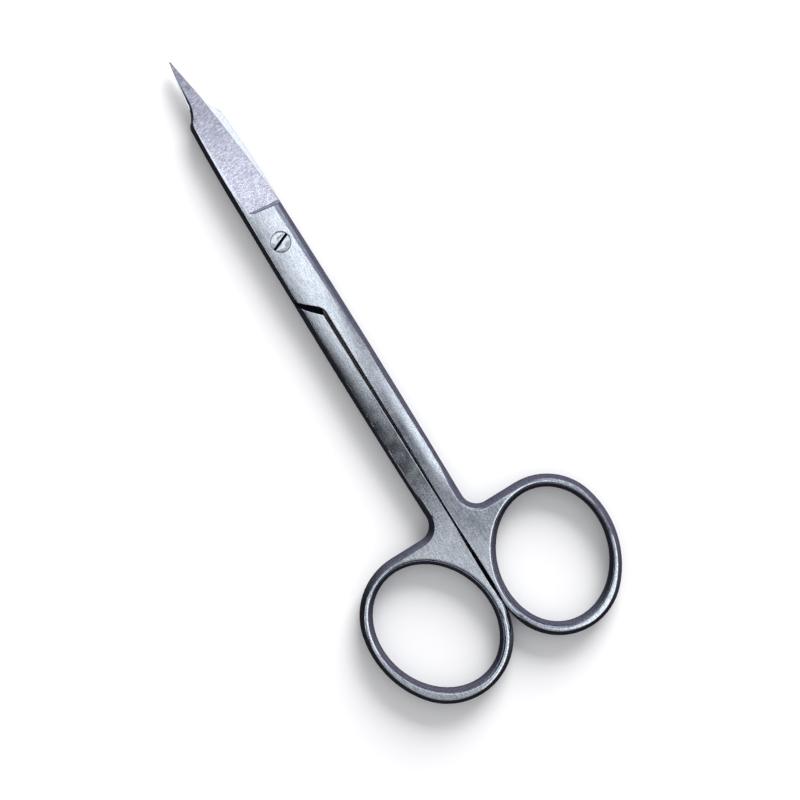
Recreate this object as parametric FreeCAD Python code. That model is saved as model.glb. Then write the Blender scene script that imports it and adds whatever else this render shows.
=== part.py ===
import FreeCAD, Part
import math
import os

# Fine surgical scissors with finger rings, lying flat, all sizes in millimetres.
# The origin is on the pivot axis at the surface they lie on, +X points to the tips, +Z is up.
# Both halves are the same forging, the lower one turned over about X. The finger rings are opened
# and finished by hand, so each ring has its own width and slant.

# Bar that the closed joint and the two shanks make together
half_thickness = 2.1
bar_half_width = 4.12
bar_widest_x = -25.0
flank_radius = 2100.0
flank_inset = 1.15
flank_bands = 8
heel_flank_share = 1.5
shank_flank_share = 1.25
ring_flank_share = 0.9
stop_flank_share = 0.5

# Crown of the broad faces, flatter over the joint and blade, run out to flat before the rings
joint_crown_radius = 28.0
joint_crown_x = -6.0
shank_crown_radius = 14.0
shank_crown_x = -26.0
crown_fade_x = -50.0
crown_end_x = -60.2

# Blade
tip_x = 39.3
tip_radius = 0.14
neck_x = 31.0
neck_back_y = 1.24
neck_edge_y = -1.46
neck_sink = 0.22
shoulder_x = 27.75
shoulder_y = 2.52
shoulder_bow = 0.24
blade_back_y = 3.34
blade_back_end_x = 26.4
blade_back_bow = 0.16
blade_edge_mid_x = 19.0
blade_edge_mid_y = -2.84
back_slope = 0.55

# Ground face of the blade and the heel step behind it
heel_x = 7.1
heel_lean = 0.15
heel_edge_fillet = 0.9
heel_back_fillet = 0.25
ground_start_y = 2.2
ground_end_y = 2.4
edge_thickness = 0.2
spine_end_thickness = 1.55

# Lap joint
lap_clearance = 0.04
lap_angle = 46.0
tail_x = -12.4
tail_y = 2.0
tail_fillet = 2.0
lap_gap = 1.2
lap_turn_y = 1.0
shank_gap = 0.56
shoulder_chamfer = 0.45
edge_chamfer = 0.14

# Finger rings: ovals of four arcs, their inner sides ground off on the flat where they meet
ring_x = -75.5
ring_length = 30.3
ring_side_radius = 18.8
ring_flat_depth = 0.23
ring_stop_gap = 0.04
ring_corner_radius = 3.1
upper_ring_width = 25.0
upper_ring_tilt = 13.8
lower_ring_width = 25.95
lower_ring_tilt = 12.3

# Holes of the rings, waisted at mid height, with a wider scoop towards the web
ring_end_wall = 2.55
upper_ring_wall = 2.15
lower_ring_wall = 2.5
hole_shift = 0.1
hole_inset = 1.05
scoop_x = 0.1
scoop_y = 0.15
upper_hole_tilt = 16.6
lower_hole_tilt = 18.2

# Web between ring and shank
web_start_x = -62.0
parting_open = 0.3
web_start_gap = 0.2

# Pivot screw
head_diameter = 3.7
head_height = 0.8
head_clearance = 0.05
bearing_diameter = 2.4
bearing_clearance = 0.03
thread_diameter = 1.9
thread_clearance = 0.02
end_recess = 0.12
slot_width = 0.5
slot_depth = 0.45
slot_angle = -68.0
head_chamfer = 0.1

mid_plane = half_thickness
overshoot = 5.0
diagonal = math.sqrt(0.5)
up = FreeCAD.Vector(0, 0, 1)


def unit(x, y):
    length = math.hypot(x, y)
    return x / length, y / length


def barrel_inset(z):
    """Inset of the rounded flank at a height above or below the mid-plane."""
    radius = (half_thickness ** 2 + flank_inset ** 2) / (2 * flank_inset)
    return radius - math.sqrt(radius ** 2 - z ** 2)


def flank_y(x):
    """Half width of the closed bar, a long shallow arc."""
    return bar_half_width - (x - bar_widest_x) ** 2 / (2 * flank_radius)


def tail_slope():
    """Steepness of the joint's slanting tail in plan."""
    return math.tan(math.radians(lap_angle))


def edge_inset(z):
    """Inset of the small chamfer along the parting line and the tail of the joint."""
    return max(0.0, abs(z) - half_thickness + edge_chamfer)


class Ring:
    """The hand-finished sizes of one finger ring and its hole, for a ring on the -Y side."""

    def __init__(self, width, tilt, wall, hole_tilt):
        self.tilt = tilt
        self.wide_half = width / 2
        self.hole_half = width / 2 - wall
        self.hole_tilt = hole_tilt
        long_half = ring_length / 2
        corners = long_half ** 2 + self.wide_half ** 2 - 2 * ring_side_radius * self.wide_half
        self.end_radius = corners / (2 * (long_half - ring_side_radius))
        self.side_reach = ring_side_radius - self.wide_half
        self.y = ring_flat_depth - ring_side_radius + self.side_reach * math.cos(math.radians(tilt))


class Knot:
    """A point of the outline, with the directions that it moves in as the section rises."""

    def __init__(self, x, y, flank=(0.0, 0.0), back=(0.0, 0.0), edge=(0.0, 0.0)):
        self.x = x
        self.y = y
        self.flank = flank
        self.back = back
        self.edge = edge

    def at(self, z):
        flank_move = barrel_inset(z)
        back_move = back_slope * abs(z)
        edge_move = edge_inset(z)
        x = self.x + self.flank[0] * flank_move + self.back[0] * back_move + self.edge[0] * edge_move
        y = self.y + self.flank[1] * flank_move + self.back[1] * back_move + self.edge[1] * edge_move
        return FreeCAD.Vector(x, y, z)


def on_arc(centre, radius, way, share=1.0):
    """A knot on a rounded flank, in the direction way from the arc's centre, inward if share is over 0."""
    return Knot(centre[0] + radius * way[0], centre[1] + radius * way[1],
                flank=(-share * way[0], -share * way[1]))


def way_between(start, end):
    return unit(end[0] - start[0], end[1] - start[1])


def middle(a, b):
    return unit(a[0] + b[0], a[1] + b[1])


def blade_back():
    """Edges from the tip over the needle point, the neck and the shoulder to the heel."""
    down = (0.0, -1.0)
    half_down = (0.0, -0.5)
    tip_start = Knot(tip_x, 0.0)
    tip_end = Knot(tip_x - tip_radius, tip_radius)
    tip_mid = Knot(tip_x - (1 - diagonal) * tip_radius, diagonal * tip_radius)
    neck = Knot(neck_x, neck_back_y, back=down)
    hollow = Knot((neck_x + shoulder_x) / 2, (neck_back_y + shoulder_y) / 2 - neck_sink, back=down)
    shoulder = Knot(shoulder_x, shoulder_y, back=down)
    bend_x = (shoulder_x + blade_back_end_x + shoulder_bow) / 2
    bend = Knot(bend_x, (shoulder_y + blade_back_y + shoulder_bow) / 2, back=down)
    back_end = Knot(blade_back_end_x, blade_back_y, back=down)
    mid_y = (blade_back_y + flank_y(heel_x)) / 2 + blade_back_bow
    back_mid = Knot((blade_back_end_x + heel_x) / 2, mid_y, flank=half_down, back=half_down)
    heel = Knot(heel_x, flank_y(heel_x), flank=down)
    return [[tip_start, tip_mid, tip_end],
            [tip_end, neck],
            [neck, hollow, shoulder],
            [shoulder, bend, back_end],
            [back_end, back_mid, heel]]


def joint_tail(heel):
    """Edges from the heel along the joint, down its slanting tail and into the parting line."""
    slope = tail_slope()
    lap_way = (math.cos(math.radians(lap_angle)), math.sin(math.radians(lap_angle)))
    into_metal = (lap_way[1], -lap_way[0])
    parting_y = -shank_gap / 2
    top_x = tail_x + (flank_y(tail_x) - tail_y) / slope
    side_x = (heel.x + top_x) / 2
    side = Knot(side_x, flank_y(side_x), flank=(0.0, -1.0))
    top = Knot(top_x, flank_y(top_x), flank=(-1 / slope, -1.0), edge=(1 / lap_way[1], 0.0))
    crossing_x = tail_x - (tail_y - parting_y) / slope
    run = tail_fillet * math.tan(math.radians(lap_angle / 2))
    centre = (crossing_x - run, parting_y + tail_fillet)
    start = Knot(crossing_x + run * lap_way[0], parting_y + run * lap_way[1], edge=into_metal)
    way = middle(into_metal, (0.0, -1.0))
    bend = Knot(centre[0] + tail_fillet * way[0], centre[1] + tail_fillet * way[1], edge=way)
    end = Knot(centre[0], parting_y, edge=(0.0, -1.0))
    return [[heel, side, top],
            [top, start],
            [start, bend, end]]


def ring_and_shank(start, ring):
    """Edges from the parting line round the oval ring and back along the shank to the heel."""
    far = (-math.cos(math.radians(ring.tilt)), math.sin(math.radians(ring.tilt)))
    side = (-far[1], far[0])
    end_reach = ring_length / 2 - ring.end_radius
    far_centre = (ring_x + end_reach * far[0], ring.y + end_reach * far[1])
    near_centre = (ring_x - end_reach * far[0], ring.y - end_reach * far[1])
    outer_centre = (ring_x - ring.side_reach * side[0], ring.y - ring.side_reach * side[1])
    inner_centre = (ring_x + ring.side_reach * side[0], ring.y + ring.side_reach * side[1])

    inner_far_way = way_between(inner_centre, far_centre)
    parting_way = middle((-side[0], -side[1]), inner_far_way)
    outer_far_way = way_between(outer_centre, far_centre)
    outer_near_way = way_between(outer_centre, near_centre)
    parting = on_arc(inner_centre, ring_side_radius, parting_way, stop_flank_share)
    inner_arc = on_arc(inner_centre, ring_side_radius, middle(parting_way, inner_far_way), stop_flank_share)
    inner_far = on_arc(inner_centre, ring_side_radius, inner_far_way, ring_flank_share)
    far_arc = on_arc(far_centre, ring.end_radius, middle(inner_far_way, outer_far_way), ring_flank_share)
    outer_far = on_arc(outer_centre, ring_side_radius, outer_far_way, ring_flank_share)
    outer_arc = on_arc(outer_centre, ring_side_radius, middle(outer_far_way, outer_near_way), ring_flank_share)
    outer_near = on_arc(outer_centre, ring_side_radius, outer_near_way, ring_flank_share)
    near_arc = on_arc(near_centre, ring.end_radius, middle(outer_near_way, (1.0, 0.0)), ring_flank_share)
    near_end = on_arc(near_centre, ring.end_radius, (1.0, 0.0))

    corner_x = near_end.x + ring_corner_radius
    corner = (corner_x, -flank_y(corner_x) - ring_corner_radius)
    corner_start = on_arc(corner, ring_corner_radius, (-1.0, 0.0), -1.0)
    corner_arc = on_arc(corner, ring_corner_radius, unit(-1.0, 1.0), -1.0)
    corner_end = on_arc(corner, ring_corner_radius, (0.0, 1.0), -1.0)
    shank_x = (corner_x + heel_x) / 2
    shank = Knot(shank_x, -flank_y(shank_x), flank=(0.0, shank_flank_share))
    heel = Knot(heel_x, -flank_y(heel_x), flank=(0.0, heel_flank_share))

    web = Knot(web_start_x, -web_start_gap / 2, edge=(0.0, -1.0))
    web_arc = Knot((web_start_x + parting.x) / 2, -ring_stop_gap / 2, flank=(0.0, -parting_open))
    return [[start, web],
            [web, web_arc, parting],
            [parting, inner_arc, inner_far],
            [inner_far, far_arc, outer_far],
            [outer_far, outer_arc, outer_near],
            [outer_near, near_arc, near_end],
            [near_end, corner_start],
            [corner_start, corner_arc, corner_end],
            [corner_end, shank, heel]]


def cutting_edge(heel, tip):
    """Edges from the heel along the cutting edge to the tip."""
    middle_knot = Knot(blade_edge_mid_x, blade_edge_mid_y, flank=(0.0, 0.5))
    neck = Knot(neck_x, neck_edge_y)
    tip_start = Knot(tip_x - tip_radius, -tip_radius)
    tip_mid = Knot(tip_x - (1 - diagonal) * tip_radius, -diagonal * tip_radius)
    return [[heel, middle_knot, neck],
            [neck, tip_start],
            [tip_start, tip_mid, tip]]


def half_outline(ring):
    """Edges of one half in plan, each a list of two knots for a line or three for an arc."""
    blade = blade_back()
    joint = joint_tail(blade[-1][-1])
    handle = ring_and_shank(joint[-1][-1], ring)
    return blade + joint + handle + cutting_edge(handle[-1][-1], blade[0][0])


def section(edges, z):
    """The outline as a closed wire at one height."""
    curves = []
    for knots in edges:
        points = [knot.at(z) for knot in knots]
        if len(points) == 2:
            curves.append(Part.LineSegment(points[0], points[1]).toShape())
        else:
            curves.append(Part.Arc(points[0], points[1], points[2]).toShape())
    return Part.Wire(curves)


def levels():
    """Section heights that turn the rounded flank by equal steps."""
    radius = (half_thickness ** 2 + flank_inset ** 2) / (2 * flank_inset)
    steepest = math.asin(half_thickness / radius)
    heights = [radius * math.sin(steepest * (2 * i / flank_bands - 1)) for i in range(flank_bands + 1)]
    chamfer_start = half_thickness - edge_chamfer
    return sorted(heights + [-chamfer_start, chamfer_start])


def oval(ring, z):
    """The hole's edge at one height, widest at both faces and shifted there towards the web."""
    share = barrel_inset(z) / flank_inset
    grow = hole_inset * share
    long_half = ring_length / 2 - ring_end_wall
    ellipse = Part.Ellipse(FreeCAD.Vector(0, 0, 0), long_half + grow, ring.hole_half + grow)
    wire = Part.Wire([ellipse.toShape()])
    wire.rotate(FreeCAD.Vector(0, 0, 0), up, -ring.hole_tilt)
    wire.translate(FreeCAD.Vector(ring_x + hole_shift + scoop_x * share, ring.y + scoop_y * share, z))
    return wire


def prism(points, low, high):
    """A straight-sided solid on a polygon in plan."""
    corners = [FreeCAD.Vector(x, y, low) for x, y in points]
    face = Part.Face(Part.makePolygon(corners + corners[:1]))
    return face.extrude(up * (high - low))


def relief_plan(shift):
    """Plan of the metal missing under the blade and joint, ahead of the slanting shoulder."""
    def shoulder_line(y):
        return tail_x - lap_gap - (y + tail_y) / tail_slope() - shift

    low_y = -bar_half_width - overshoot
    high_y = bar_half_width + overshoot
    return [(shoulder_line(low_y), low_y), (tip_x + overshoot, low_y), (tip_x + overshoot, high_y),
            (shoulder_line(lap_turn_y), high_y), (shoulder_line(lap_turn_y), lap_turn_y)]


def lap_relief():
    """The lap under one half, with the chamfer along the shoulder's outer edge."""
    recess = prism(relief_plan(0.0), -half_thickness - overshoot, lap_clearance / 2)
    rings = []
    for reach in (shoulder_chamfer, -overshoot):
        z = -half_thickness + reach
        corners = [FreeCAD.Vector(x, y, z) for x, y in relief_plan(shoulder_chamfer - reach)]
        rings.append(Part.makePolygon(corners + corners[:1]))
    return recess.fuse(Part.makeLoft(rings, True, True))


def stop_flat():
    """What is taken off the ring's inner side, so that the closed rings meet on a flat."""
    far_x = ring_x - ring_length
    corner = FreeCAD.Vector(far_x, -ring_stop_gap / 2, -half_thickness - overshoot)
    return Part.makeBox(web_start_x + overshoot - far_x, overshoot, 2 * (half_thickness + overshoot), corner)


def crown_tool(side):
    """What the belt takes off a broad face to crown it, above the half for side 1 and below for -1."""
    reach_y = bar_half_width + lap_clearance
    fall = reach_y ** 2 / (2 * shank_crown_radius)
    stations = [(tip_x + overshoot, joint_crown_radius, 0.0), (joint_crown_x, joint_crown_radius, 0.0),
                (shank_crown_x, shank_crown_radius, 0.0), (crown_fade_x, shank_crown_radius, 0.0),
                (crown_end_x, shank_crown_radius, fall)]
    profiles = []
    for x, radius, lift in stations:
        crest = half_thickness + lift
        brink = crest - radius + math.sqrt(radius ** 2 - reach_y ** 2)
        ends = [FreeCAD.Vector(x, y, side * brink) for y in (-reach_y, reach_y)]
        roof = [FreeCAD.Vector(x, y, side * (crest + overshoot)) for y in (reach_y, -reach_y)]
        curves = [Part.Arc(ends[0], FreeCAD.Vector(x, 0, side * crest), ends[1]),
                  Part.LineSegment(ends[1], roof[0]), Part.LineSegment(roof[0], roof[1]),
                  Part.LineSegment(roof[1], ends[0])]
        profiles.append(Part.Wire([curve.toShape() for curve in curves]))
    return Part.makeLoft(profiles, True, True)


def crown_height(y):
    """Height of the crowned face over the joint and blade."""
    return half_thickness - joint_crown_radius + math.sqrt(joint_crown_radius ** 2 - y ** 2)


def ground_height(x, y):
    """Height of the ground face above the lap plane."""
    start = crown_height(ground_start_y)
    across = (start - edge_thickness) / (ground_start_y + flank_y(heel_x))
    drop = start + across * (ground_end_y - ground_start_y) - spine_end_thickness
    along = drop / (blade_back_end_x - heel_x)
    return start + across * (y - ground_start_y) - along * (x - heel_x)


def blade_grind():
    """What the wheel takes off above the blade, back to the hollow step at the heel."""
    far_x = tip_x + overshoot
    top = half_thickness + overshoot
    profiles = []
    side_y = bar_half_width + shoulder_chamfer
    for y, fillet in ((-side_y, heel_edge_fillet), (side_y, heel_back_fillet)):
        wall_x = heel_x + heel_lean * (y - ground_start_y)
        low = FreeCAD.Vector(wall_x + fillet, y, ground_height(wall_x + fillet, y))
        high = FreeCAD.Vector(wall_x, y, low.z + fillet)
        reach = fillet * (1 - diagonal)
        bend = FreeCAD.Vector(wall_x + reach, y, low.z + reach)
        far = FreeCAD.Vector(far_x, y, ground_height(far_x, y))
        roof = [FreeCAD.Vector(wall_x, y, top), FreeCAD.Vector(far_x, y, top)]
        curves = [Part.LineSegment(far, low), Part.Arc(low, bend, high), Part.LineSegment(high, roof[0]),
                  Part.LineSegment(roof[0], roof[1]), Part.LineSegment(roof[1], far)]
        profiles.append(Part.Wire([curve.toShape() for curve in curves]))
    return Part.makeLoft(profiles, True, True)


def spine_taper():
    """What thins the back of the blade from the heel to the shoulder."""
    fall = (half_thickness - spine_end_thickness) / (blade_back_end_x - heel_x)
    far_x = tip_x + overshoot
    side_y = bar_half_width + overshoot
    corners = [FreeCAD.Vector(heel_x, -side_y, half_thickness),
               FreeCAD.Vector(far_x, -side_y, half_thickness - fall * (far_x - heel_x)),
               FreeCAD.Vector(far_x, -side_y, half_thickness + overshoot),
               FreeCAD.Vector(heel_x, -side_y, half_thickness + overshoot)]
    face = Part.Face(Part.makePolygon(corners + corners[:1]))
    return face.extrude(FreeCAD.Vector(0, 2 * side_y, 0))


def forging(ring):
    """One half about its own lap plane: blade, joint, shank and ring in one piece."""
    edges = half_outline(ring)
    half = Part.makeLoft([section(edges, z) for z in levels()], True, True)
    hole = Part.makeLoft([oval(ring, z) for z in levels()], True, True)
    half = half.cut(hole)
    half = half.cut(stop_flat())
    half = half.cut(crown_tool(1))
    half = half.cut(crown_tool(-1))
    half = half.cut(lap_relief())
    half = half.cut(spine_taper())
    half = half.cut(blade_grind())
    return half


def drum(diameter, low, high):
    return Part.makeCylinder(diameter / 2, high - low, FreeCAD.Vector(0, 0, low), up)


def upper_half():
    seat = half_thickness - head_height
    half = forging(Ring(upper_ring_width, upper_ring_tilt, upper_ring_wall, upper_hole_tilt))
    half = half.cut(drum(bearing_diameter + 2 * bearing_clearance, -overshoot, overshoot))
    half = half.cut(drum(head_diameter + 2 * head_clearance, seat - lap_clearance / 2, overshoot))
    rim = head_diameter / 2 + head_clearance
    cone = Part.makeCone(rim, rim + overshoot, overshoot,
                         FreeCAD.Vector(0, 0, half_thickness - head_chamfer), up)
    half = half.cut(cone)
    half.translate(up * mid_plane)
    return half


def lower_half():
    half = forging(Ring(lower_ring_width, lower_ring_tilt, lower_ring_wall, lower_hole_tilt))
    half.rotate(FreeCAD.Vector(0, 0, 0), FreeCAD.Vector(1, 0, 0), 180)
    half = half.cut(drum(thread_diameter + 2 * thread_clearance, -overshoot, overshoot))
    half.translate(up * mid_plane)
    return half


def pivot_screw():
    """Shoulder screw: the head holds the upper half and is ground flush with its crown, the bearing
    stands on the lower half."""
    seat = half_thickness - head_height
    foot = -lap_clearance / 2
    head = drum(head_diameter, seat, half_thickness)
    top_edges = [edge for edge in head.Edges if edge.Closed and edge.Vertexes[0].Z > seat + head_chamfer]
    head = head.makeChamfer(head_chamfer, top_edges)
    head = head.cut(crown_tool(1))
    screw = head.fuse(drum(bearing_diameter, foot, seat))
    screw = screw.fuse(drum(thread_diameter, end_recess - half_thickness, foot))
    slot = Part.makeBox(head_diameter * 2, slot_width, slot_depth + overshoot,
                        FreeCAD.Vector(-head_diameter, -slot_width / 2, half_thickness - slot_depth))
    slot.rotate(FreeCAD.Vector(0, 0, 0), up, slot_angle)
    screw = screw.cut(slot)
    screw.translate(up * mid_plane)
    return screw


os.makedirs("parts", exist_ok=True)
for name, make in (("lower_half", lower_half), ("pivot_screw", pivot_screw), ("upper_half", upper_half)):
    piece = make()
    print(name, "valid" if piece.isValid() else "not valid", round(piece.Volume, 2), "mm3")
    piece.exportStep("parts/" + name + ".step")
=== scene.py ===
import bmesh
import bpy
import math
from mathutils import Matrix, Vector


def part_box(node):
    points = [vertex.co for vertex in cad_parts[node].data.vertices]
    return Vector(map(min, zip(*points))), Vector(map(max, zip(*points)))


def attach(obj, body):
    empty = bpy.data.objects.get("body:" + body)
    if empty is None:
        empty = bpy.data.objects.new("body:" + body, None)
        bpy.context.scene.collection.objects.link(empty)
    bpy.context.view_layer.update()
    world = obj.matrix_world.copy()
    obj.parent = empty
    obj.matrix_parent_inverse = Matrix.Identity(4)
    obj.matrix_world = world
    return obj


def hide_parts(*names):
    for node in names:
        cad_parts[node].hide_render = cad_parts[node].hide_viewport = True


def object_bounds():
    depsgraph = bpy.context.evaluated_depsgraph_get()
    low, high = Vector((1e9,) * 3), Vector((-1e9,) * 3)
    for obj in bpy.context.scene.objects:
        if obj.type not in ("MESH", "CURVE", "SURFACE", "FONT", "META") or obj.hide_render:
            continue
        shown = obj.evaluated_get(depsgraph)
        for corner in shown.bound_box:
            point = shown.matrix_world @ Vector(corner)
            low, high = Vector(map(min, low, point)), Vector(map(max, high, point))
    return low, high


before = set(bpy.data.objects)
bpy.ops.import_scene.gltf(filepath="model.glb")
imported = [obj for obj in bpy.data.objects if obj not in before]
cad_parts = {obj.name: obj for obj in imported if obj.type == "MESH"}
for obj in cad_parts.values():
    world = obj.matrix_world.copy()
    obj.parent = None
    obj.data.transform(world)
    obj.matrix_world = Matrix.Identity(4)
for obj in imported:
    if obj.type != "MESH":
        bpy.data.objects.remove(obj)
cad_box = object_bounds()

# Lower half: one steel forging, with the ground blade, the lap joint, the shank and a finger ring.
# It is belt polished lengthwise to a satin, its blade and lap are ground, and its thin edges are
# eased by the polishing wheel. The lap's corner and the parting line get near-black painted shade.

tone_low = 0.41
tone_high = 0.59
cloud_low = 0.3
cloud_high = 0.7
rounding_samples = 8


def make_grain():
    """Polishing grain: scratches along X, a fine speckle and a soft mottle."""
    group = bpy.data.node_groups.new("polishing_grain", "ShaderNodeTree")
    for name in ("Place", "Stretch"):
        group.interface.new_socket(name=name, in_out="INPUT", socket_type="NodeSocketVector")
    for name in ("Speckle", "Mottle"):
        group.interface.new_socket(name=name, in_out="INPUT", socket_type="NodeSocketFloat")
    for name in ("Scratch", "Grit", "Cloud"):
        group.interface.new_socket(name=name, in_out="OUTPUT", socket_type="NodeSocketFloat")
    nodes = group.nodes
    links = group.links
    start = nodes.new("NodeGroupInput")
    end = nodes.new("NodeGroupOutput")
    stretch = nodes.new("ShaderNodeVectorMath")
    stretch.operation = "MULTIPLY"
    links.new(start.outputs["Place"], stretch.inputs[0])
    links.new(start.outputs["Stretch"], stretch.inputs[1])
    scratch = nodes.new("ShaderNodeTexNoise")
    scratch.inputs["Scale"].default_value = 1.0
    scratch.inputs["Detail"].default_value = 4.0
    scratch.inputs["Roughness"].default_value = 0.7
    links.new(stretch.outputs["Vector"], scratch.inputs["Vector"])
    links.new(scratch.outputs["Fac"], end.inputs["Scratch"])
    for name, scale_name, detail in (("Grit", "Speckle", 2.0), ("Cloud", "Mottle", 3.0)):
        noise = nodes.new("ShaderNodeTexNoise")
        noise.inputs["Detail"].default_value = detail
        links.new(start.outputs["Place"], noise.inputs["Vector"])
        links.new(start.outputs[scale_name], noise.inputs["Scale"])
        links.new(noise.outputs["Fac"], end.inputs[name])
    return group


polishing_grain = make_grain()


def steel(name, dark, light, smooth, rough, stretch, turn, depth, speckle=4200.0, mottle=500.0,
          shares=(0.45, 0.35, 0.2), rounding=0.0):
    """A polished or ground steel, its grain along the piece or turned about Z. The shares weigh
    scratch, grit and cloud in its tone, and the rounding is how wide its edges are softened."""
    material = bpy.data.materials.new(name)
    material.use_nodes = True
    nodes = material.node_tree.nodes
    links = material.node_tree.links
    shader = nodes["Principled BSDF"]
    shader.inputs["Metallic"].default_value = 1.0
    place = nodes.new("ShaderNodeTexCoord")
    mapping = nodes.new("ShaderNodeMapping")
    mapping.inputs["Rotation"].default_value[2] = math.radians(turn)
    grain = nodes.new("ShaderNodeGroup")
    grain.node_tree = polishing_grain
    grain.inputs["Stretch"].default_value = stretch
    grain.inputs["Speckle"].default_value = speckle
    grain.inputs["Mottle"].default_value = mottle
    links.new(place.outputs["Object"], mapping.inputs["Vector"])
    links.new(mapping.outputs["Vector"], grain.inputs["Place"])
    total = None
    for output, share in zip(("Scratch", "Grit", "Cloud"), shares):
        term = nodes.new("ShaderNodeMath")
        term.operation = "MULTIPLY_ADD"
        term.inputs[1].default_value = share
        term.inputs[2].default_value = 0.0
        links.new(grain.outputs[output], term.inputs[0])
        if total is not None:
            links.new(total.outputs["Value"], term.inputs[2])
        total = term
    tone = nodes.new("ShaderNodeValToRGB")
    tone.color_ramp.elements[0].position = tone_low
    tone.color_ramp.elements[0].color = (*dark, 1.0)
    tone.color_ramp.elements[1].position = tone_high
    tone.color_ramp.elements[1].color = (*light, 1.0)
    links.new(total.outputs["Value"], tone.inputs["Fac"])
    links.new(tone.outputs["Color"], shader.inputs["Base Color"])
    gloss = nodes.new("ShaderNodeMapRange")
    gloss.inputs["From Min"].default_value = cloud_low
    gloss.inputs["From Max"].default_value = cloud_high
    gloss.inputs["To Min"].default_value = smooth
    gloss.inputs["To Max"].default_value = rough
    links.new(grain.outputs["Cloud"], gloss.inputs["Value"])
    links.new(gloss.outputs["Result"], shader.inputs["Roughness"])
    bump = nodes.new("ShaderNodeBump")
    bump.inputs["Strength"].default_value = 1.0
    bump.inputs["Distance"].default_value = depth
    links.new(total.outputs["Value"], bump.inputs["Height"])
    links.new(bump.outputs["Normal"], shader.inputs["Normal"])
    if rounding:
        soft_edge = nodes.new("ShaderNodeBevel")
        soft_edge.samples = rounding_samples
        soft_edge.inputs["Radius"].default_value = rounding
        links.new(soft_edge.outputs["Normal"], bump.inputs["Normal"])
    return material


satin = steel("satin_steel", dark=(0.52, 0.55, 0.60), light=(0.86, 0.89, 0.94), smooth=0.07, rough=0.13,
              stretch=(500.0, 4200.0, 4200.0), turn=0.0, depth=0.000008, speckle=3400.0,
              shares=(0.5, 0.4, 0.1), rounding=0.00025)
ground = steel("ground_blade", dark=(0.54, 0.53, 0.62), light=(0.92, 0.90, 1.0), smooth=0.12, rough=0.19,
               stretch=(520.0, 3600.0, 3600.0), turn=84.0, depth=0.000006, speckle=3000.0,
               mottle=600.0, shares=(0.75, 0.1, 0.15))
lap_ground = steel("ground_lap", dark=(0.74, 0.75, 0.80), light=(0.92, 0.93, 0.97), smooth=0.12, rough=0.2,
                   stretch=(500.0, 5200.0, 5200.0), turn=80.0, depth=0.000006)
# Near-black painted shade for the recesses where little light reaches: the lap face in the gap, the
# shoulder's slant and the screw slot
painted_shade = steel("painted_shade_recess", dark=(0.004, 0.004, 0.007), light=(0.009, 0.009, 0.014),
                   smooth=0.35, rough=0.5, stretch=(900.0, 2500.0, 2500.0), turn=0.0, depth=0.00001)
# Dark painted shade for the walls of the parting line between the shanks
painted_parting_shade = steel("painted_parting_shade", dark=(0.07, 0.07, 0.08), light=(0.16, 0.16, 0.18), smooth=0.3,
                    rough=0.45, stretch=(900.0, 2500.0, 2500.0), turn=0.0, depth=0.00001)
half_finishes = (satin, ground, lap_ground, painted_shade, painted_parting_shade)

# How far a face may lean and still count as broad, or as flat, by the height of its normal
broad_face = 0.93
flat_face = 0.985

# The belt-polished crown of the bar, from the joint to where it runs out before the rings
crown_reach = 0.00416
joint_crown_x = -0.006
joint_crown_radius = 0.028
shank_crown_x = -0.026
shank_crown_radius = 0.014
crown_fade_x = -0.048
crown_end_x = -0.067

# Even lines laid over the broad faces, from just inside the rings' ends to the tips
line_gap = 0.0015
line_start = -0.0896
line_count = math.ceil((cad_box[1].x - line_start) / line_gap)
cut_reach = 0.00002

# Lap face at mid height, its slanting tail and the parting line between the shanks
half_lowest, half_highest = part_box("lower_half")
lap_height = (half_lowest.z + half_highest.z) / 2
lap_split_near = 0.0001
lap_near = 0.0002
outer_height = 0.0012
tail_point = (-0.0124, -0.0020)
tail_angle = math.radians(46.0)
tail_reach = (-0.0205, -0.0082)
tail_lean = 0.35
parting_reach = (-0.0745, -0.0115)
parting_half = 0.0009
parting_lean = 0.8

# Ground face of the blade, which starts at the heel and leans to the edge
heel_x = 0.0068
ground_lean = -0.2

# Edges, eased on the wheel and rounder on the finger ring
merge_reach = 0.00003
facet_bend = math.radians(0.2)
crisp_bend = math.radians(24.0)
broad_bend = math.radians(10.0)
half_eased = 0.00006
ring_eased = 0.00012
ring_start = -0.0640
rim_reach = 0.0021
area_weight = 80


def share_between(value, start, end):
    """How far a value has gone from start to end, from 0 to 1."""
    return min(max((value - start) / (end - start), 0.0), 1.0)


def crown_slope(x, y):
    """The sideways slope of the belt-crowned face, which runs out to flat before the rings."""
    share = share_between(x, joint_crown_x, shank_crown_x)
    kept = share_between(x, crown_end_x, crown_fade_x)
    kept *= kept * (3.0 - 2.0 * kept)
    return kept * y * ((1.0 - share) / joint_crown_radius + share / shank_crown_radius)


def cut_faces(form, faces, place, way):
    """Cut some faces by a plane, and keep all of the form."""
    edges = dict.fromkeys(edge for face in faces for edge in face.edges)
    verts = dict.fromkeys(vert for face in faces for vert in face.verts)
    bmesh.ops.bisect_plane(form, geom=[*faces, *edges, *verts], dist=cut_reach,
                           plane_co=place, plane_no=way)


def broad(face):
    return abs(face.normal.z) > broad_face


def split_broad_faces(form, side):
    """Lay even lines over the broad faces, and split the lap face where the shank's recess begins."""
    for step in range(line_count):
        faces = [face for face in form.faces if broad(face)]
        cut_faces(form, faces, (line_start + line_gap * step, 0, 0), (1, 0, 0))
    lap = [face for face in form.faces if abs(face.calc_center_median().z - lap_height) < lap_split_near]
    cut_faces(form, lap, (tail_point[0], side * tail_point[1], 0),
              (math.sin(tail_angle), side * math.cos(tail_angle), 0))


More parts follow.
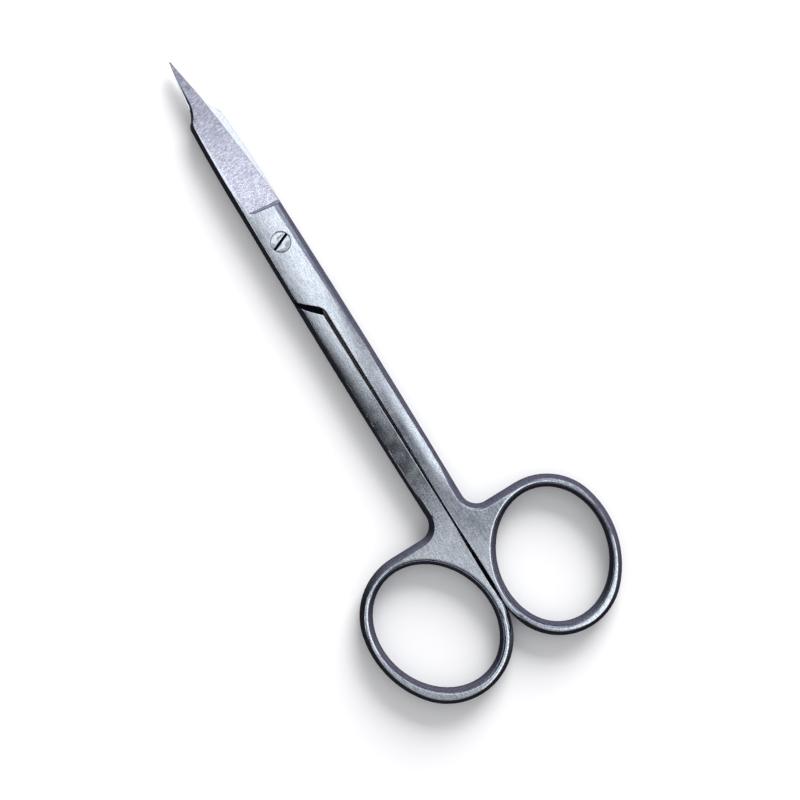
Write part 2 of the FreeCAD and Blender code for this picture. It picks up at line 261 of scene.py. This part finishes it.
def true_shading(piece):
    """Shade the crowned and flat faces by their true form, free of the facets."""
    shown = bpy.context.evaluated_depsgraph_get()
    mesh = bpy.data.meshes.new_from_object(piece.evaluated_get(shown))
    normals = [Vector(corner.vector) for corner in mesh.corner_normals]
    for face in mesh.polygons:
        outer = abs(face.center.z - lap_height) > outer_height and face.center.x < heel_x
        on_bar = face.center.x > crown_end_x and abs(face.center.y) < crown_reach
        if outer and abs(face.normal.z) > (broad_face if on_bar else flat_face):
            upward = 1.0 if face.normal.z > 0.0 else -1.0
            for corner in face.loop_indices:
                place = mesh.vertices[mesh.loops[corner].vertex_index].co
                normals[corner] = Vector((0.0, crown_slope(place.x, place.y), upward)).normalized()
    mesh.normals_split_custom_set(normals)
    piece.modifiers.clear()
    mesh.name = piece.name
    piece.data = mesh


def polished_copy(node, name, eased, side=0):
    """A copy of a node's solid with its doubles merged and its edges eased. The flanks are shaded
    smooth. Side is as in finish_faces, or 0 for a piece that isn't a half."""
    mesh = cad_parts[node].data.copy()
    mesh.name = name
    mesh.materials.clear()
    form = bmesh.new()
    form.from_mesh(mesh)
    bmesh.ops.remove_doubles(form, verts=form.verts, dist=merge_reach)
    bmesh.ops.dissolve_limit(form, angle_limit=facet_bend, verts=form.verts, edges=form.edges)
    if side:
        split_broad_faces(form, side)

    def crisp(edge):
        if len(edge.link_faces) != 2:
            return True
        bend = edge.calc_face_angle()
        return bend > crisp_bend or (bend > broad_bend and any(broad(face) for face in edge.link_faces))

    def on_ring(edge):
        return max(vert.co.x for vert in edge.verts) < ring_start

    def on_rim(edge):
        return side and all(vert.co.to_2d().length < rim_reach for vert in edge.verts)

    for face in form.faces:
        face.smooth = True
    sharp = [edge for edge in form.edges if crisp(edge)]
    rings = [edge for edge in sharp if on_ring(edge)]
    others = [edge for edge in sharp if not on_ring(edge) and not on_rim(edge)]
    for edge in sharp:
        edge.smooth = not on_rim(edge)
    for edges, offset in ((others, eased), (rings, ring_eased)):
        left = [edge for edge in edges if edge.is_valid]
        bmesh.ops.bevel(form, geom=left, offset=offset, offset_type="OFFSET", segments=2, profile=0.5,
                        affect="EDGES", material=-1, clamp_overlap=False)
    bmesh.ops.triangulate(form, faces=[face for face in form.faces if len(face.verts) > 4])
    form.to_mesh(mesh)
    form.free()
    piece = bpy.data.objects.new(name, mesh)
    bpy.context.scene.collection.objects.link(piece)
    weights = piece.modifiers.new("weighted_normals", "WEIGHTED_NORMAL")
    weights.mode = "FACE_AREA"
    weights.weight = area_weight
    weights.keep_sharp = True
    if side:
        true_shading(piece)
    return piece


def finish_faces(piece, side):
    """Give the satin and ground finishes and the painted shade of the recesses to a half, seen in its own
    frame. Side is 1 for the upper half and -1 for the lower one, which is turned over about X."""
    for finish in half_finishes:
        piece.data.materials.append(finish)
    for face in piece.data.polygons:
        x = face.center.x
        y = side * face.center.y
        z = side * (face.center.z - lap_height)
        across = side * face.normal.y
        rise = side * face.normal.z
        past_tail = (x - tail_point[0]) * math.sin(tail_angle) + (y - tail_point[1]) * math.cos(tail_angle)
        slanting = abs(face.normal.x) > tail_lean and abs(across) > tail_lean and abs(rise) < broad_face
        upright = abs(rise) < parting_lean
        finish = satin
        if rise < -broad_face and abs(z) < lap_near:
            # Past the tail the lap face lies in the gap between the halves and gets near-black painted
            # shade
            finish = painted_shade if past_tail < 0.0 else lap_ground
        elif x > heel_x and rise > broad_face and across < ground_lean:
            finish = ground
        # The shoulder's slanting chamfer beside the gap gets near-black painted shade
        elif slanting and tail_reach[0] < x < tail_reach[1]:
            finish = painted_shade
        # The parting walls between the shanks get dark painted shade
        elif upright and abs(y) < parting_half and parting_reach[0] < x < parting_reach[1]:
            finish = painted_parting_shade
        face.material_index = half_finishes.index(finish)


lower = polished_copy("lower_half", "lower_half_polished", eased=half_eased, side=-1)
finish_faces(lower, -1)
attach(lower, "lower")
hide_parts("lower_half")

# Upper half: the same forging turned over, bored and counterbored for the screw.
# It carries the slotted head, and its ground blade face looks up.

upper = polished_copy("upper_half", "upper_half_polished", eased=half_eased, side=1)
finish_faces(upper, 1)
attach(upper, "upper")
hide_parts("upper_half")

# Pivot screw: turned from steel bar, with a flat slotted head faced off flush with the joint.
# It threads into the lower half, and the upper half turns on its bearing.

screw_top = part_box("pivot_screw")[1].z
screw_eased = 0.00002
screw_head_height = 0.0008
screw_face_depth = 0.0003
screw_slot_half = 0.00027
screw_slot_angle = math.radians(-68.0)
screw_wall_lean = 0.5
faced = steel("faced_screw", dark=(0.56, 0.59, 0.64), light=(0.86, 0.89, 0.94), smooth=0.12, rough=0.2,
              stretch=(500.0, 4200.0, 4200.0), turn=20.0, depth=0.000006, speckle=3400.0)
screw_finishes = (faced, painted_shade)
screw = polished_copy("pivot_screw", "pivot_screw_polished", eased=screw_eased)
for finish in screw_finishes:
    screw.data.materials.append(finish)
# The slot's walls and floor get near-black painted shade
for face in screw.data.polygons:
    off_slot = face.center.x * math.sin(screw_slot_angle) - face.center.y * math.cos(screw_slot_angle)
    depth = screw_top - face.center.z
    in_slot = abs(off_slot) < screw_slot_half and depth < screw_head_height
    inner = abs(face.normal.z) < screw_wall_lean or depth > screw_face_depth
    face.material_index = screw_finishes.index(painted_shade if in_slot and inner else faced)
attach(screw, "lower")
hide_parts("pivot_screw")

# Stage: a pale matt table and one soft key light from the upper right, low enough to draw a shadow.
# The room that the steel mirrors has a shaped window overhead and dim walls, brighter towards the
# key light.

table_reach = 40.0
table_mesh = bpy.data.meshes.new("table_top")
table_form = bmesh.new()
bmesh.ops.create_grid(table_form, x_segments=1, y_segments=1, size=table_reach)
table_form.to_mesh(table_mesh)
table_form.free()
table_top = bpy.data.objects.new("table_top", table_mesh)
bpy.context.scene.collection.objects.link(table_top)
table_paint = bpy.data.materials.new("table_paint")
table_paint.use_nodes = True
table_shader = table_paint.node_tree.nodes["Principled BSDF"]
table_shader.inputs["Base Color"].default_value = (0.82, 0.82, 0.83, 1.0)
table_shader.inputs["Roughness"].default_value = 0.9
table_shader.inputs["Specular IOR Level"].default_value = 0.0
table_mesh.materials.append(table_paint)
table_top.visible_glossy = False

key_place = Vector((0.56, -0.74, 0.44))
key_aim = Vector((-0.03, 0.0, 0.0))
key_radiance = 18.0
key_light = bpy.data.lights.new("key", "AREA")
key_light.shape = "RECTANGLE"
key_light.size = 0.7
key_light.size_y = 0.5
key_light.energy = key_radiance * math.pi * key_light.size * key_light.size_y
key = bpy.data.objects.new("key", key_light)
key.location = key_place
key.rotation_mode = "QUATERNION"
key.rotation_quaternion = (key_aim - key_place).to_track_quat("-Z", "Y")
key.visible_glossy = False
bpy.context.scene.collection.objects.link(key)

world = bpy.data.worlds.new("studio")
bpy.context.scene.world = world
world.use_nodes = True
room_nodes = world.node_tree.nodes
room_links = world.node_tree.links
backdrop = room_nodes["Background"]
heading = room_nodes.new("ShaderNodeTexCoord")
heading_parts = room_nodes.new("ShaderNodeSeparateXYZ")
room_links.new(heading.outputs["Generated"], heading_parts.inputs["Vector"])
heading_x = heading_parts.outputs["X"]
heading_y = heading_parts.outputs["Y"]
heading_z = heading_parts.outputs["Z"]


def room_math(operation, first, second):
    """One step of arithmetic on the room's sockets or on plain numbers."""
    node = room_nodes.new("ShaderNodeMath")
    node.operation = operation
    for socket, value in zip(node.inputs, (first, second)):
        if isinstance(value, bpy.types.NodeSocket):
            room_links.new(value, socket)
        else:
            socket.default_value = value
    return node.outputs["Value"]


def times(first, second):
    return room_math("MULTIPLY", first, second)


def brighter(first, second):
    return room_math("MAXIMUM", first, second)


def fade(value, span, levels=(0.0, 1.0)):
    """A smooth change of level as a value crosses a span."""
    node = room_nodes.new("ShaderNodeMapRange")
    node.interpolation_type = "SMOOTHSTEP"
    room_links.new(value, node.inputs["Value"])
    for name, number in zip(("From Min", "From Max", "To Min", "To Max"), (*span, *levels)):
        node.inputs[name].default_value = number
    return node.outputs["Result"]


def blend(share, first, second):
    """Mix two levels by a share."""
    return room_math("ADD", times(room_math("SUBTRACT", 1.0, share), first), times(share, second))


# The room is laid out by where a mirrored direction meets a ceiling one unit up. Along runs with X,
# towards the tips, and across runs with Y. Each part of the lying steel mirrors its own stretch of
# the window, from the rings at low values of along to the needle points at high ones.
least_rise = 0.001
rise = room_math("MAXIMUM", heading_z, least_rise)
along = room_math("DIVIDE", heading_x, rise)
across = room_math("DIVIDE", heading_y, rise)

# Over the blade the window peaks at mid length and is dim at the needle point
blade_rise = (0.21, 0.23)
blade_levels = (0.15, 2.2)
needle_fall = (0.24, 0.27)
needle_levels = (1.0, 0.08)
blade_side = (-0.25, -0.42)
blade_peak = times(fade(along, blade_rise, blade_levels), fade(along, needle_fall, needle_levels))

# Over the joint it is a band that shifts sideways towards the tips, darker on its far side
shift_start = 0.05
shift_end = 0.12
shift_rate = 2.0
shift = room_math("SUBTRACT", room_math("MINIMUM", along, shift_end), shift_start)
shifted = room_math("ADD", across, times(shift, shift_rate))
joint_near_side = (0.54, 0.03)
joint_far_side = (-0.4, -0.05)
joint_far_levels = (0.28, 0.98)
joint_band = times(fade(shifted, joint_near_side), fade(shifted, joint_far_side, joint_far_levels))
spine_start = (0.14, 0.17)
spine_side = (-0.25, -0.1)
spine_patch = times(fade(along, spine_start), fade(across, spine_side))
joint_window = brighter(blend(fade(across, blade_side), joint_band, blade_peak), spine_patch)

# Over the shank only its far side shows, and a dim strip joins it where the crown has run out
shank_side = (-0.15, -0.42)
flat_side = (0.022, 0.0)
flat_levels = (0.10, 0.45)
joint_start = (-0.012, 0.05)
flat_start = (-0.042, -0.055)
shank_window = fade(across, shank_side)
flat_strip = fade(across, flat_side, flat_levels)
bar_window = blend(fade(along, joint_start), shank_window, joint_window)
bar_window = blend(fade(along, flat_start), bar_window, brighter(flat_strip, shank_window))

# Over the finger rings and their webs
ring_side = (0.06, -0.02)
ring_levels = (0.3, 1.1)
web_side = (-0.005, 0.022)
web_levels = (0.14, 0.75)
web_end = (-0.13, -0.11)
web_start = (-0.064, -0.078)
finger_window = blend(fade(along, web_end), fade(across, ring_side, ring_levels),
                      fade(across, web_side, web_levels))

# The window's own edges
far_edge = (-1.7, -1.0)
end_edge = (0.6, 0.28)
sill = (0.25, 0.5)
window = blend(fade(along, web_start), bar_window, finger_window)
window = times(window, times(fade(across, far_edge), fade(along, end_edge)))
window = times(window, fade(heading_z, sill))

# Walls of the room, brighter towards the key light, and the glow around it
key_way = (0.6, -0.8)
glow_side = (0.78, 0.92)
glow_rise = (0.05, 0.2)
glow_levels = (0.0, 0.9)
wall_rise = (-0.3, 0.6)
low_side = (-0.3, 0.8)
low_levels = (0.02, 0.19)
high_side = (-0.4, 0.8)
high_levels = (0.02, 0.26)
key_side = room_math("ADD", times(heading_x, key_way[0]), times(heading_y, key_way[1]))
key_glow = times(fade(key_side, glow_side), fade(heading_z, glow_rise, glow_levels))
raised = fade(heading_z, wall_rise)
low_walls = times(room_math("SUBTRACT", 1.0, raised), fade(key_side, low_side, low_levels))
high_walls = times(raised, room_math("ADD", fade(key_side, high_side, high_levels), key_glow))

window_tint = (1.04, 1.09, 1.13)
high_tint = (0.84, 0.90, 1.1)
low_tint = (0.86, 0.80, 1.1)
mirrored = None
for level, tint in ((window, window_tint), (high_walls, high_tint), (low_walls, low_tint)):
    light = room_nodes.new("ShaderNodeVectorMath")
    light.operation = "MULTIPLY_ADD"
    light.inputs[1].default_value = tint
    room_links.new(level, light.inputs[0])
    if mirrored:
        room_links.new(mirrored.outputs["Vector"], light.inputs[2])
    mirrored = light

# What lights the table: a pale sky, dimmed straight overhead to deepen the shade beside the steel
sky_colour = (0.79, 0.792, 0.798)
sky_top = (0.86, 0.99)
sky_levels = (1.0, 0.05)
sky = room_nodes.new("ShaderNodeVectorMath")
sky.operation = "SCALE"
sky.inputs[0].default_value = sky_colour
room_links.new(fade(heading_z, sky_top, sky_levels), sky.inputs["Scale"])

# Mirrored rays see the room, the camera sees plain white, and the rest see the sky
rays = room_nodes.new("ShaderNodeLightPath")
room = room_nodes.new("ShaderNodeMix")
room.data_type = "RGBA"
room_links.new(sky.outputs["Vector"], room.inputs["A"])
room_links.new(mirrored.outputs["Vector"], room.inputs["B"])
room_links.new(rays.outputs["Is Glossy Ray"], room.inputs["Factor"])
seen = room_nodes.new("ShaderNodeMix")
seen.data_type = "RGBA"
seen.inputs["B"].default_value = (1.0, 1.0, 1.0, 1.0)
room_links.new(room.outputs["Result"], seen.inputs["A"])
room_links.new(rays.outputs["Is Camera Ray"], seen.inputs["Factor"])
room_links.new(seen.outputs["Result"], backdrop.inputs["Color"])

# Camera: straight above the middle of the scissors, as they were photographed, and turned about its
# own axis so that the tips lie to the upper left.

camera_place = (-0.0363, -0.0034, 0.3231)
camera_turn = math.radians(-121.74)
lens = bpy.data.cameras.new("camera")
lens.sensor_width = 36.0
lens.lens = 78.0
lens.clip_start = 0.01
camera = bpy.data.objects.new("camera", lens)
camera.location = camera_place
camera.rotation_euler = (0.0, 0.0, camera_turn)
bpy.context.scene.collection.objects.link(camera)
bpy.context.scene.camera = camera
bpy.context.scene.view_settings.view_transform = "Standard"
